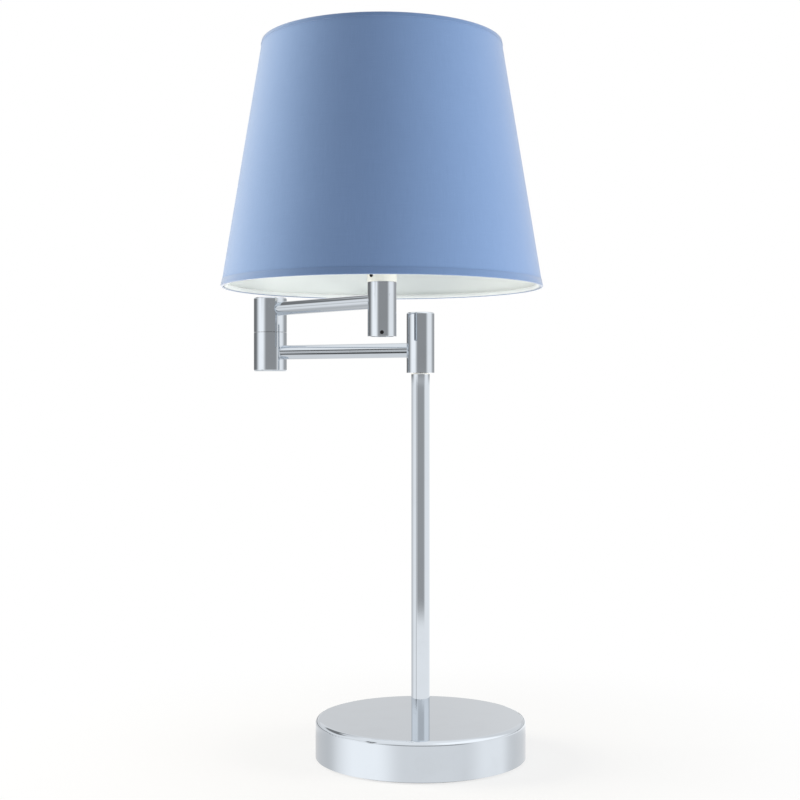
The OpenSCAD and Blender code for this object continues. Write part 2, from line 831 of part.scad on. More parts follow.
// Half outline of a globe bulb whose neck runs into the globe along a 45-degree tangent
module globe_outline(r, neck_r, z0) {
    tangent = r * cos(45);
    polygon([
        [0, z0],
        [neck_r, z0],
        [neck_r, bulb_z - 2 * tangent + neck_r],
        [tangent, bulb_z - tangent],
        [0, bulb_z]
    ]);
    intersection() {
        translate([0, bulb_z]) circle(r = r);
        translate([0, bulb_z - r]) square([r, 2 * r]);
    }
}

// Opal glass globe
module bulb_glass() {
    color("white") at_holder() difference() {
        rotate_extrude() globe_outline(bulb_r, bulb_neck_r, bulb_neck_z);
        rotate_extrude() globe_outline(bulb_r - bulb_glass_t, bulb_neck_r - bulb_glass_t, bulb_neck_z - cut);
    }
}

// Screw cap of the bulb
module bulb_cap() {
    tip_z = core_top + contact_h + running;
    thread_z = tip_z + bulb_tip_h;
    color("lightgray") at_holder() {
        translate([0, 0, tip_z]) cylinder(r = contact_r, h = bulb_tip_h);
        translate([0, 0, thread_z]) cylinder(r = bulb_thread_r, h = bulb_neck_z - bulb_skirt_h - thread_z);
        translate([0, 0, bulb_neck_z - bulb_skirt_h])
            cylinder(r1 = bulb_thread_r, r2 = bulb_neck_r, h = bulb_skirt_h);
    }
}

// Two-core lead from the elbow's pivot along the arm to the lampholder
module upper_arm_lead() {
    lead([
        [elbow_x, elbow_y, seam_z + running],
        [elbow_x, elbow_y, upper_arm_z],
        [holder_x, holder_y, upper_arm_z],
        [holder_x, holder_y, core_top - core_h - seat]
    ]);
}

base_cover();
base_weight();
bottom_plate();
bottom_plate_screws();
base_pad();
cord_gland();
terminal_block();
earth_screw();
post_tube();
post_foot_plug();
base_nipple();
base_washer();
base_nut();
post_bush();
post_lead();
post_hub();
post_hub_cap();
pivot_spigot();
spigot_spring_washer();
spigot_nut();
post_stop_pin();
lower_arm_tube();
elbow_lower();
elbow_lower_cap();
elbow_seam_washer();
elbow_spindle();
elbow_spring_washer();
elbow_nut();
lower_arm_lead();
elbow_upper();
elbow_upper_cap();
elbow_bush();
elbow_stop_pin();
upper_arm_tube();
holder_hub();
holder_hub_plug();
holder_grub_screw();
holder_nipple();
holder_nipple_nut();
lampholder_cap();
lampholder_lock_screw();
lampholder_skirt();
lampholder_core();
lampholder_screw_shell();
lampholder_contact();
shade_ring_nut();
shade_spider();
shade_bottom_ring();
shade_top_ring();
shade_liner();
shade_cover();
shade_hems();
bulb_cap();
bulb_glass();
upper_arm_lead();
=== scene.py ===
"""Swing-arm table lamp: fabric drum shade on a folding chromed arm, post and weighted round base."""

import json
import math

import bmesh
import bpy
from mathutils import Matrix, Vector, noise


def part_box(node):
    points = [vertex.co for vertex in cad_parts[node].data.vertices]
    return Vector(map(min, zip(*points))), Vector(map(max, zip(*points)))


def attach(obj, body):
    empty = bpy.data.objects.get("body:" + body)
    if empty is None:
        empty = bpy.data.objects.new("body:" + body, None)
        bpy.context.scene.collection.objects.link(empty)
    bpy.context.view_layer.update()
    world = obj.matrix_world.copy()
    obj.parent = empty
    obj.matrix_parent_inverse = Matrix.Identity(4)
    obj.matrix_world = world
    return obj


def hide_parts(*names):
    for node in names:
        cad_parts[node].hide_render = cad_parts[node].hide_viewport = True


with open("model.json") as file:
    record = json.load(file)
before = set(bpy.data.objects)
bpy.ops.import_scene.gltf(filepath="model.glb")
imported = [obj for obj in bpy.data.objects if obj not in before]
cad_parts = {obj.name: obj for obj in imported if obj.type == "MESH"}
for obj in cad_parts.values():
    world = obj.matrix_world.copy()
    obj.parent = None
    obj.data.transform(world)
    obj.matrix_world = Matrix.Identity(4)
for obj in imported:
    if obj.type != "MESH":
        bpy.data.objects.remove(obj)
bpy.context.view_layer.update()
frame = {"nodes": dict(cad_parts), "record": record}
NODES = frame["nodes"]

MM = 0.001
TURN = 2 * math.pi

# ---------------------------------------------------------------- camera

CAMERA_DISTANCE = 1.154     # from the post's axis, along -Y
CAMERA_HEIGHT = 0.289
CAMERA_X = -0.01663
LENS_MM = 64.0
SENSOR_MM = 36.0


def add_camera():
    data = bpy.data.cameras.new("product_camera")
    data.lens = LENS_MM
    data.sensor_width = SENSOR_MM
    camera = bpy.data.objects.new("product_camera", data)
    camera.location = (CAMERA_X, -CAMERA_DISTANCE, CAMERA_HEIGHT)
    camera.rotation_euler = (math.radians(90), 0, 0)
    bpy.context.scene.collection.objects.link(camera)
    bpy.context.scene.camera = camera


# ---------------------------------------------------------------- places taken from the frame

def middle_of(node):
    low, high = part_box(node)
    return (low + high) / 2


SHADE_AXIS = middle_of("shade_liner")
SHADE_AXIS.z = 0
COVER_LOW, COVER_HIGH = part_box("shade_cover")
SHADE_Z0 = COVER_LOW.z
SHADE_Z1 = COVER_HIGH.z
RIM_R = (COVER_HIGH.x - COVER_LOW.x) / 2
HEM_LOW, HEM_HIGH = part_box("shade_hems")
HEM_T = (HEM_HIGH.x - HEM_LOW.x) / 2 - RIM_R


def radius_near(node, z, reach=2 * MM):
    """The largest radius from the shade's axis of a CAD node's points close to height z."""
    points = [v.co for v in NODES[node].data.vertices if abs(v.co.z - z) < reach]
    return max((p.xy - SHADE_AXIS.xy).length for p in points)


TOP_R = radius_near("shade_cover", SHADE_Z1)
TAPER = (RIM_R - TOP_R) / (SHADE_Z1 - SHADE_Z0)
FABRIC_T = 0.5 * MM
LINER_T = 0.8 * MM


def cover_radius(z):
    return RIM_R - TAPER * (z - SHADE_Z0)


# ---------------------------------------------------------------- mesh building

def finish_mesh(name, bm, material, sharp_deg=35.0):
    """Turns a bmesh into a smooth-shaded object whose edges stay crisp past an angle."""
    bmesh.ops.recalc_face_normals(bm, faces=bm.faces)
    mesh = bpy.data.meshes.new(name)
    bm.to_mesh(mesh)
    bm.free()
    mesh.shade_smooth()
    mesh.set_sharp_from_angle(angle=math.radians(sharp_deg))
    mesh.materials.append(material)
    piece = bpy.data.objects.new(name, mesh)
    bpy.context.scene.collection.objects.link(piece)
    return piece


def lathe(name, profile, centre, material, steps=192, closed=True, wobble=None, sharp_deg=35.0):
    """Turns a profile of (radius, height) about a vertical axis. UVs are metres round and along it.

    wobble(angle, height) gives a small change of radius.
    """
    bm = bmesh.new()
    uv_layer = bm.loops.layers.uv.new("UVMap")
    rings = []
    along = [0.0]
    for (r0, z0), (r1, z1) in zip(profile, profile[1:]):
        along.append(along[-1] + math.hypot(r1 - r0, z1 - z0))
    if closed:
        (r0, z0), (r1, z1) = profile[-1], profile[0]
        along.append(along[-1] + math.hypot(r1 - r0, z1 - z0))
    for step in range(steps):
        angle = TURN * step / steps
        row = []
        for r, z in profile:
            reach = r + (wobble(angle, z) if wobble else 0.0)
            row.append(bm.verts.new((centre.x + reach * math.cos(angle),
                                     centre.y + reach * math.sin(angle), z)))
        rings.append(row)
    mean_r = sum(r for r, _ in profile) / len(profile)
    spans = len(profile) if closed else len(profile) - 1
    for step in range(steps):
        here, there = rings[step], rings[(step + 1) % steps]
        u0 = mean_r * TURN * step / steps
        u1 = mean_r * TURN * (step + 1) / steps
        for i in range(spans):
            j = (i + 1) % len(profile)
            face = bm.faces.new((here[i], there[i], there[j], here[j]))
            uvs = ((u0, along[i]), (u1, along[i]), (u1, along[i + 1]), (u0, along[i + 1]))
            for loop, uv in zip(face.loops, uvs):
                loop[uv_layer].uv = uv
    return finish_mesh(name, bm, material, sharp_deg)


def arc(cx, cz, r, start_deg, end_deg, steps=6):
    """Points on a circle in the (radius, height) plane."""
    return [(cx + r * math.cos(math.radians(start_deg + (end_deg - start_deg) * i / steps)),
             cz + r * math.sin(math.radians(start_deg + (end_deg - start_deg) * i / steps)))
            for i in range(steps + 1)]


# ---------------------------------------------------------------- shader building

class Tree:
    """A small helper that adds nodes to a node tree and joins them."""

    def __init__(self, tree):
        self.tree = tree

    def add(self, kind, **settings):
        made = self.tree.nodes.new(kind)
        for key, value in settings.items():
            setattr(made, key, value)
        return made

    def join(self, source, target):
        self.tree.links.new(source, target)

    def feed(self, socket, value):
        """Links an output to a socket, or sets the socket to a plain value."""
        if isinstance(value, bpy.types.NodeSocket):
            self.join(value, socket)
        else:
            socket.default_value = value

    def math(self, operation, a, b=0.0, clamp=False):
        made = self.add("ShaderNodeMath", operation=operation, use_clamp=clamp)
        self.feed(made.inputs[0], a)
        self.feed(made.inputs[1], b)
        return made.outputs[0]

    def remap(self, value, low, high, to_low, to_high, smooth=False):
        made = self.add("ShaderNodeMapRange", clamp=True)
        made.interpolation_type = "SMOOTHSTEP" if smooth else "LINEAR"
        for socket, given in zip(made.inputs, (value, low, high, to_low, to_high)):
            self.feed(socket, given)
        return made.outputs[0]

    def noise(self, vector, scale, detail=2.0, roughness=0.5):
        made = self.add("ShaderNodeTexNoise")
        self.feed(made.inputs["Vector"], vector)
        self.feed(made.inputs["Scale"], scale)
        made.inputs["Detail"].default_value = detail
        made.inputs["Roughness"].default_value = roughness
        return made.outputs[0]

    def stretch(self, vector, scale):
        made = self.add("ShaderNodeMapping")
        self.feed(made.inputs["Vector"], vector)
        made.inputs["Scale"].default_value = scale
        return made.outputs[0]

    def blend_colour(self, factor, first, second):
        made = self.add("ShaderNodeMix", data_type="RGBA")
        self.feed(made.inputs["Factor"], factor)
        self.feed(made.inputs[6], first)
        self.feed(made.inputs[7], second)
        return made.outputs[2]

    def use(self, group, **values):
        made = self.add("ShaderNodeGroup")
        made.node_tree = group
        for key, value in values.items():
            self.feed(made.inputs[key.replace("_", " ")], value)
        return made


def new_group(name, inputs, outputs):
    """A shader node group with float or vector sockets."""
    group = bpy.data.node_groups.new(name, "ShaderNodeTree")
    for label, kind, default in inputs:
        socket = group.interface.new_socket(label, in_out="INPUT", socket_type=kind)
        if default is not None:
            socket.default_value = default
    for label, kind in outputs:
        group.interface.new_socket(label, in_out="OUTPUT", socket_type=kind)
    tree = Tree(group)
    return group, tree, tree.add("NodeGroupInput"), tree.add("NodeGroupOutput")


def polish_group():
    """Handling marks on plated metal: broad smudges, hairline scratches and a faint plating ripple."""
    group, t, source, sink = new_group("polish_marks", [
        ("Vector", "NodeSocketVector", None),
        ("Clean Roughness", "NodeSocketFloat", 0.04),
        ("Smudge Roughness", "NodeSocketFloat", 0.10),
    ], [("Roughness", "NodeSocketFloat"), ("Smudge", "NodeSocketFloat"), ("Height", "NodeSocketFloat")])
    where = source.outputs["Vector"]
    smudge = t.remap(t.noise(where, 38.0, 4.0, 0.6), 0.46, 0.74, 0.0, 1.0, smooth=True)
    hairline = t.remap(t.noise(t.stretch(where, (900.0, 900.0, 60.0)), 1.0, 2.0), 0.62, 0.70, 0.0, 1.0)
    ripple = t.noise(where, 260.0, 1.0)
    spread = t.math("SUBTRACT", source.outputs["Smudge Roughness"], source.outputs["Clean Roughness"])
    rough = t.math("MULTIPLY_ADD", smudge, spread)
    t.join(source.outputs["Clean Roughness"], rough.node.inputs[2])
    marked = t.math("MULTIPLY_ADD", hairline, 0.010)
    t.join(rough, marked.node.inputs[2])
    t.join(marked, sink.inputs["Roughness"])
    t.join(smudge, sink.inputs["Smudge"])
    depth = t.math("MULTIPLY_ADD", hairline, -0.35)
    t.join(ripple, depth.node.inputs[2])
    t.join(depth, sink.inputs["Height"])
    return group


def weave_group():
    """A plain weave: threads that pass over and under each other, with slubs and uneven dye. Its Gap output
    marks the spaces between threads, which woven() darkens as painted shade.
    """
    group, t, source, sink = new_group("plain_weave", [
        ("Vector", "NodeSocketVector", None),
        ("Pitch", "NodeSocketFloat", 0.00045),
    ], [("Height", "NodeSocketFloat"), ("Tone", "NodeSocketFloat"), ("Gap", "NodeSocketFloat")])
    parts = t.add("ShaderNodeSeparateXYZ")
    t.join(source.outputs["Vector"], parts.inputs[0])
    drift = t.noise(source.outputs["Vector"], 90.0, 2.0)
    sway = t.math("MULTIPLY", drift, 1.6)
    across = t.math("ADD", t.math("DIVIDE", parts.outputs[0], source.outputs["Pitch"]), sway)
    up = t.math("ADD", t.math("DIVIDE", parts.outputs[1], source.outputs["Pitch"]), sway)
    warp = t.math("ABSOLUTE", t.math("SINE", t.math("MULTIPLY", across, math.pi)))
    weft = t.math("ABSOLUTE", t.math("SINE", t.math("MULTIPLY", up, math.pi)))
    step = t.math("ADD", t.math("FLOOR", across), t.math("FLOOR", up))
    over = t.math("PINGPONG", step, 1.0)
    under = t.math("SUBTRACT", 1.0, over)
    crown = t.math("ADD", t.math("MULTIPLY", t.math("MULTIPLY", warp, over), weft),
                   t.math("MULTIPLY", t.math("MULTIPLY", weft, under), warp))
    bed = t.math("MULTIPLY", t.math("MAXIMUM", warp, weft), 0.45)
    t.join(t.math("MAXIMUM", crown, bed), sink.inputs["Height"])
    slub_up = t.noise(t.stretch(source.outputs["Vector"], (2300.0, 60.0, 1.0)), 1.0, 2.0)
    slub_across = t.noise(t.stretch(source.outputs["Vector"], (50.0, 2500.0, 1.0)), 1.0, 2.0)
    dye = t.noise(source.outputs["Vector"], 14.0, 3.0)
    slubs = t.math("ADD", t.math("MULTIPLY", slub_up, 0.45), t.math("MULTIPLY", slub_across, 0.35))
    tone = t.math("ADD", slubs, t.math("MULTIPLY", dye, 0.2))
    t.join(tone, sink.inputs["Tone"])
    # Gap is 1 between the threads: it masks where the painted shade goes.
    t.join(t.remap(bed, 0.0, 0.32, 1.0, 0.0), sink.inputs["Gap"])
    return group


def grain_group():
    """Fine mottling for moulded, cast, lacquered and felted surfaces."""
    group, t, source, sink = new_group("fine_grain", [
        ("Vector", "NodeSocketVector", None),
        ("Grain Scale", "NodeSocketFloat", 900.0),
        ("Patch Scale", "NodeSocketFloat", 45.0),
        ("Roughness", "NodeSocketFloat", 0.5),
        ("Spread", "NodeSocketFloat", 0.08),
    ], [("Roughness", "NodeSocketFloat"), ("Patch", "NodeSocketFloat"), ("Height", "NodeSocketFloat")])
    where = source.outputs["Vector"]
    patch = t.noise(where, source.outputs["Patch Scale"], 4.0, 0.55)
    grain = t.noise(where, source.outputs["Grain Scale"], 3.0, 0.6)
    swing = t.math("MULTIPLY", t.math("SUBTRACT", patch, 0.5), source.outputs["Spread"])
    t.join(t.math("ADD", source.outputs["Roughness"], swing, clamp=True), sink.inputs["Roughness"])
    t.join(t.remap(patch, 0.3, 0.7, 0.0, 1.0), sink.inputs["Patch"])
    t.join(grain, sink.inputs["Height"])
    return group


POLISH = polish_group()
WEAVE = weave_group()
GRAIN = grain_group()


def new_material(name):
    """A material with a Principled shader, and the helper that builds its nodes."""
    material = bpy.data.materials.new(name)
    material.use_nodes = True
    tree = Tree(material.node_tree)
    shader = material.node_tree.nodes["Principled BSDF"]
    return material, tree, shader


def add_bump(t, shader, height, strength, distance):
    bump = t.add("ShaderNodeBump")
    bump.inputs["Strength"].default_value = strength
    bump.inputs["Distance"].default_value = distance
    t.join(height, bump.inputs["Height"])
    t.join(bump.outputs["Normal"], shader.inputs["Normal"])


def plated_metal(name, colour, smudged, clean, dull, ripple=0.012):
    """Polished or plated metal with handling marks."""
    material, t, shader = new_material(name)
    where = t.add("ShaderNodeTexCoord").outputs["Object"]
    marks = t.use(POLISH, Vector=where, Clean_Roughness=clean, Smudge_Roughness=dull)
    t.join(t.blend_colour(marks.outputs["Smudge"], colour, smudged), shader.inputs["Base Color"])
    t.join(marks.outputs["Roughness"], shader.inputs["Roughness"])
    shader.inputs["Metallic"].default_value = 1.0
    add_bump(t, shader, marks.outputs["Height"], ripple, 0.2 * MM)
    return material


def grained(name, light, dark, roughness, spread=0.08, grain=900.0, patch=45.0, depth=0.15, bump=0.1 * MM,
            metallic=0.0, coat=0.0, sheen=0.0, subsurface=0.0):
    """A moulded, cast, lacquered or felted surface with patches and a fine grain."""
    material, t, shader = new_material(name)
    where = t.add("ShaderNodeTexCoord").outputs["Object"]
    marks = t.use(GRAIN, Vector=where, Grain_Scale=grain, Patch_Scale=patch, Roughness=roughness,
                  Spread=spread)
    t.join(t.blend_colour(marks.outputs["Patch"], dark, light), shader.inputs["Base Color"])
    t.join(marks.outputs["Roughness"], shader.inputs["Roughness"])
    shader.inputs["Metallic"].default_value = metallic
    shader.inputs["Coat Weight"].default_value = coat
    shader.inputs["Sheen Weight"].default_value = sheen
    if subsurface:
        shader.inputs["Subsurface Weight"].default_value = subsurface
        shader.inputs["Subsurface Radius"].default_value = (1.0, 0.9, 0.75)
        shader.inputs["Subsurface Scale"].default_value = 1.5 * MM
    add_bump(t, shader, marks.outputs["Height"], depth, bump)
    return material


def woven(name, pale, deep, sheen=0.35, painted_gap_shade=0.55):
    """The shade's dyed plain weave, with painted shade darkening the gaps between threads."""
    material, t, shader = new_material(name)
    where = t.add("ShaderNodeUVMap", uv_map="UVMap").outputs["UV"]
    weave = t.use(WEAVE, Vector=where, Pitch=0.00048)
    dyed = t.blend_colour(t.remap(weave.outputs["Tone"], 0.36, 0.64, 0.0, 1.0), deep, pale)
    # painted shade: between the threads the dye is blended toward a dim copy of the deep colour
    shaded = t.blend_colour(t.math("MULTIPLY", weave.outputs["Gap"], 0.5), dyed,
                            tuple(c * painted_gap_shade for c in deep[:3]) + (1.0,))
    t.join(shaded, shader.inputs["Base Color"])
    t.join(t.remap(weave.outputs["Tone"], 0.3, 0.7, 0.72, 0.60), shader.inputs["Roughness"])
    shader.inputs["Sheen Weight"].default_value = sheen
    shader.inputs["Sheen Roughness"].default_value = 0.45
    shader.inputs["Specular IOR Level"].default_value = 0.35
    add_bump(t, shader, weave.outputs["Height"], 0.35, 0.10 * MM)
    return material


CHROME = plated_metal("chrome_plate", (0.617, 0.66, 0.708, 1.0), (0.60, 0.64, 0.685, 1.0), 0.03, 0.06,
                      ripple=0.002)
ZINC = plated_metal("zinc_plate", (0.58, 0.60, 0.62, 1.0), (0.46, 0.47, 0.48, 1.0), 0.24, 0.42,
                    ripple=0.06)
BRASS = plated_metal("bright_brass", (0.83, 0.62, 0.28, 1.0), (0.66, 0.45, 0.18, 1.0), 0.14, 0.32,
                     ripple=0.04)
NICKEL = plated_metal("nickel_cap", (0.66, 0.64, 0.60, 1.0), (0.52, 0.50, 0.47, 1.0), 0.16, 0.34,
                      ripple=0.05)
BLUE = woven("blue_weave", (0.205, 0.332, 0.605, 1.0), (0.188, 0.309, 0.568, 1.0), sheen=0.7)
# The hems are the cover's own cloth folded over the rims; this darker copy of BLUE is painted shade on the
# folds.
HEM_BLUE_PAINTED_SHADE = woven("blue_hem_weave_painted_shade", (0.171, 0.283, 0.528, 1.0), (0.152, 0.256, 0.484, 1.0), sheen=1.0)
LINING = grained("white_liner", (0.90, 0.94, 0.935, 1.0), (0.87, 0.91, 0.905, 1.0), 0.62, grain=1400.0,
                 patch=20.0, depth=0.12)
CREAM = grained("cream_moulding", (0.90, 0.90, 0.845, 1.0), (0.87, 0.87, 0.81, 1.0), 0.33, spread=0.10,
                grain=700.0, depth=0.05, coat=0.25, subsurface=0.15)
GLAZE = grained("glazed_core", (0.88, 0.87, 0.83, 1.0), (0.82, 0.81, 0.76, 1.0), 0.20, depth=0.04, coat=0.5)
LACQUER = grained("white_lacquer", (0.88, 0.88, 0.87, 1.0), (0.83, 0.83, 0.82, 1.0), 0.26, grain=500.0,
                  depth=0.08, coat=0.4)
NYLON = grained("turned_nylon", (0.86, 0.86, 0.83, 1.0), (0.80, 0.80, 0.77, 1.0), 0.42, depth=0.08,
                subsurface=0.2)
GLAND = grained("gland_moulding", (0.80, 0.80, 0.78, 1.0), (0.74, 0.74, 0.72, 1.0), 0.45, depth=0.10)
TERMINAL = grained("terminal_moulding", (0.80, 0.78, 0.68, 1.0), (0.72, 0.70, 0.60, 1.0), 0.48, depth=0.10)
SHEATH = grained("lead_sheath", (0.82, 0.82, 0.80, 1.0), (0.74, 0.74, 0.72, 1.0), 0.38, depth=0.06)
IRON = grained("cast_iron", (0.10, 0.10, 0.105, 1.0), (0.045, 0.043, 0.042, 1.0), 0.68, spread=0.2,
               grain=420.0, patch=70.0, depth=0.5, bump=0.5 * MM, metallic=0.7)
BLACK = grained("black_oxide", (0.030, 0.030, 0.034, 1.0), (0.015, 0.015, 0.017, 1.0), 0.36, depth=0.08,
                metallic=0.6)
FELT = grained("dark_felt", (0.060, 0.070, 0.072, 1.0), (0.030, 0.036, 0.038, 1.0), 0.95, grain=2600.0,
               patch=240.0, depth=0.9, bump=0.5 * MM, sheen=0.6)
OPAL = grained("opal_glass", (0.93, 0.93, 0.90, 1.0), (0.90, 0.90, 0.87, 1.0), 0.09, spread=0.03,
               grain=120.0, depth=0.02, coat=0.6, subsurface=0.3)

FINISHES = {
    "chrome": CHROME, "cast_iron": IRON, "zinc_steel": ZINC, "felt": FELT, "gland_plastic": GLAND,
    "terminal_plastic": TERMINAL, "brass": BRASS, "nylon": NYLON, "black_steel": BLACK,
    "cream_plastic": CREAM, "ceramic": GLAZE, "white_lacquer": LACQUER, "liner": LINING,
    "blue_fabric": BLUE, "bulb_cap_metal": NICKEL, "opal_glass": OPAL, "lead_sheath": SHEATH,
}


def finish_cad_nodes():
    """Gives every CAD node the finish of its material slot."""
    for part in frame["record"]["subparts"]:
        for place in NODES[part["node"]].material_slots:
            place.material = FINISHES[part["material_slot"]]


# ---------------------------------------------------------------- shade

FABRIC_ROWS = 60
LINING_ROWS = 20
SHADE_STEPS = 256           # faces round every ring of the shade
SEAM_ANGLE = math.radians(62)
SEAM_WIDTH = 12 * MM
SEAM_ROWS = 40
SEAM_END_GAP = 0.3 * MM     # between the seam's ends and the hems
SEAM_LIFT_MM = (0.02, 0.30, 0.36, 0.36, 0.30, 0.02)     # across the seam, over the cover
SEAM_SPREAD = (-0.5, -0.47, -0.40, 0.40, 0.47, 0.5)     # the same points, as shares of its width
BAND_H = 5 * MM             # how far the lower hem's outer layer reaches up the cover
TOP_BAND_H = 2.6 * MM
GLUE_T = 0.05 * MM          # between the cover and the lining
ROLL_T = 0.25 * MM          # the lining's edge, thinned where it is rolled over a wire
ROLL_GAP = 0.12 * MM
ROLL_START, ROLL_END = -20, 200     # degrees round the wire


def shade_heights(rows):
    """Heights from the lower rim to the upper one, in equal rows."""
    return [SHADE_Z0 + (SHADE_Z1 - SHADE_Z0) * row / rows for row in range(rows + 1)]


def fabric_wobble(angle, z):
    """The faint unevenness of cloth bonded to a rolled liner."""
    turn = Vector((math.cos(angle), math.sin(angle), z / 0.05))
    return 0.05 * MM * noise.noise(turn * 2.3)


def build_shade_fabric():
    """The dyed cover, one layer of cloth bonded round the liner."""
    profile = [(cover_radius(z), z) for z in shade_heights(FABRIC_ROWS)]
    piece = lathe("shade_fabric", profile, SHADE_AXIS, BLUE, steps=SHADE_STEPS, closed=False,
                  wobble=fabric_wobble)
    skin = piece.modifiers.new("thickness", "SOLIDIFY")
    skin.thickness = FABRIC_T
    skin.offset = -1
    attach(piece, "upper_arm")
    return piece


def lining_wobble(angle, z):
    """The lining's slow unevenness."""
    return 0.04 * MM * noise.noise(Vector((math.cos(angle) * 4, math.sin(angle) * 4, z / 0.06)))


def build_lining():
    """The stiff white film inside the cloth, with its edges rolled over the two wire rings."""
    outside = [(cover_radius(z) - FABRIC_T - GLUE_T, z) for z in shade_heights(LINING_ROWS)]
    inside = [(r - LINER_T, z) for r, z in reversed(outside)]
    film = lathe("shade_lining", outside + inside, SHADE_AXIS, LINING, steps=SHADE_STEPS,
                 wobble=lining_wobble)
    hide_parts("shade_liner")
    rolls = []
    for name, ring, away in (("shade_lower_roll", "shade_bottom_ring", -1),
                             ("shade_upper_roll", "shade_top_ring", 1)):
        low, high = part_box(ring)
        wire_r = (high.z - low.z) / 2
        orbit = (high.x - low.x) / 2 - wire_r
        ring_z = (low.z + high.z) / 2
        hug = wire_r + ROLL_GAP
        skin = hug + ROLL_T
        path = arc(orbit, ring_z, skin, ROLL_START, ROLL_END, 16)
        path += arc(orbit, ring_z, hug, ROLL_END, ROLL_START, 16)
        profile = [(r, ring_z + away * (z - ring_z)) for r, z in path]
        rolls.append(lathe(name, profile, SHADE_AXIS, LINING, steps=SHADE_STEPS, wobble=hem_wobble))
    for piece in (film, *rolls):
        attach(piece, "upper_arm")
    return [film, *rolls]


def build_back_seam():
    """The cover's overlapped and glued join, on the shade's rear."""
    bm = bmesh.new()
    uv_layer = bm.loops.layers.uv.new("UVMap")
    z0 = SHADE_Z0 + BAND_H + SEAM_END_GAP
    z1 = SHADE_Z1 - TOP_BAND_H - SEAM_END_GAP
    grid = []
    for row in range(SEAM_ROWS + 1):
        z = z0 + (z1 - z0) * row / SEAM_ROWS
        line = []
        for lift, part in zip(SEAM_LIFT_MM, SEAM_SPREAD):
            drift = 0.3 * MM * noise.noise(Vector((0.0, 3.0, z / 0.03)))
            reach = cover_radius(z) + lift * MM
            angle = SEAM_ANGLE + (part * SEAM_WIDTH + drift) / reach
            line.append((bm.verts.new((SHADE_AXIS.x + reach * math.cos(angle),
                                       SHADE_AXIS.y + reach * math.sin(angle), z)), angle * RIM_R, z))
        grid.append(line)
    for below, above in zip(grid, grid[1:]):
        for i in range(len(SEAM_LIFT_MM) - 1):
            corners = (below[i], below[i + 1], above[i + 1], above[i])
            face = bm.faces.new([c[0] for c in corners])
            for loop, corner in zip(face.loops, corners):
                loop[uv_layer].uv = (corner[1], corner[2])
    piece = finish_mesh("shade_back_seam", bm, BLUE, sharp_deg=60.0)
    skin = piece.modifiers.new("thickness", "SOLIDIFY")
    skin.thickness = 0.02 * MM
    skin.offset = 1
    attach(piece, "upper_arm")
    return piece


def hem_wobble(angle, z):
    """The small unevenness of a folded edge."""
    return 0.06 * MM * noise.noise(Vector((math.cos(angle) * 30, math.sin(angle) * 30, z / 0.004)))


def build_hem(name, rim_z, away, height):
    """A folded strip over one rim. away is -1 for the lower rim and +1 for the upper one."""
    band_end = rim_z - away * height
    outside = cover_radius(rim_z) + HEM_T
    inside = cover_radius(rim_z) - FABRIC_T - LINER_T
    fold = HEM_T + 0.1 * MM
    profile = [
        (cover_radius(band_end) + 0.03 * MM, band_end),
        (cover_radius(band_end) + 0.75 * HEM_T, band_end),
        (cover_radius(band_end) + HEM_T, band_end + away * 0.25 * MM),
        (outside, rim_z - away * 0.3 * MM),
        (outside - 0.10 * MM, rim_z + away * 0.55 * fold),
        (outside - 0.45 * MM, rim_z + away * fold),
        (inside - 0.35 * MM, rim_z + away * fold),
        (inside - 0.75 * MM, rim_z + away * 0.45 * fold),
        (inside - 0.70 * MM, rim_z + away * 0.06 * MM),
        (inside, rim_z + away * 0.05 * MM),
        (outside - HEM_T + 0.03 * MM, rim_z + away * 0.05 * MM),
    ]
    # the hem takes the darker copy of the cover's blue, painted shade on the fold
    piece = lathe(name, profile, SHADE_AXIS, HEM_BLUE_PAINTED_SHADE, steps=SHADE_STEPS, wobble=hem_wobble, sharp_deg=50.0)
    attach(piece, "upper_arm")
    return piece


def build_shade():
    """Cover, seam, hems and lining. The chrome doesn't mirror the shade, so its stripes stay clean."""
    fabric = build_shade_fabric()
    seam = build_back_seam()
    hems = [build_hem("shade_lower_hem", SHADE_Z0, -1, BAND_H),
            build_hem("shade_upper_hem", SHADE_Z1, 1, TOP_BAND_H)]
    lining = build_lining()
    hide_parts("shade_cover")
    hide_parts("shade_hems")
    wires = [NODES[name] for name in ("shade_bottom_ring", "shade_top_ring", "shade_spider")]
    for piece in (fabric, seam, *hems, *lining, *wires):
        piece.visible_glossy = False


WIRE_R = 1.4 * MM
BEAD_R = 1.75 * MM
BEAD_INSET = 1.2 * MM       # from the ring's wire towards the shade's axis
BEAD_RISE = 0.3 * MM


def build_spoke_welds():
    """Small weld beads where the three spokes meet the lower ring."""
    low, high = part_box("shade_bottom_ring")
    ring_z = low.z + WIRE_R
    ring_r = (high.x - low.x) / 2 - WIRE_R
    bm = bmesh.new()
    for k in range(3):
        angle = math.radians(90 + 120 * k)
        at = Vector((SHADE_AXIS.x + (ring_r - BEAD_INSET) * math.cos(angle),
                     SHADE_AXIS.y + (ring_r - BEAD_INSET) * math.sin(angle), ring_z + BEAD_RISE))
        made = bmesh.ops.create_icosphere(bm, subdivisions=3, radius=BEAD_R)
        for vert in made["verts"]:
            swell = 1 + 0.10 * noise.noise(vert.co * 900 + Vector((k, 0, 0)))
            vert.co = at + Matrix.Rotation(angle, 3, "Z") @ Vector(
                (vert.co.x * 1.25 * swell, vert.co.y * 1.1 * swell, vert.co.z * 0.95 * swell))
    piece = finish_mesh("spoke_welds", bm, LACQUER)
    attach(piece, "upper_arm")


# ---------------------------------------------------------------- lampholder and bulb

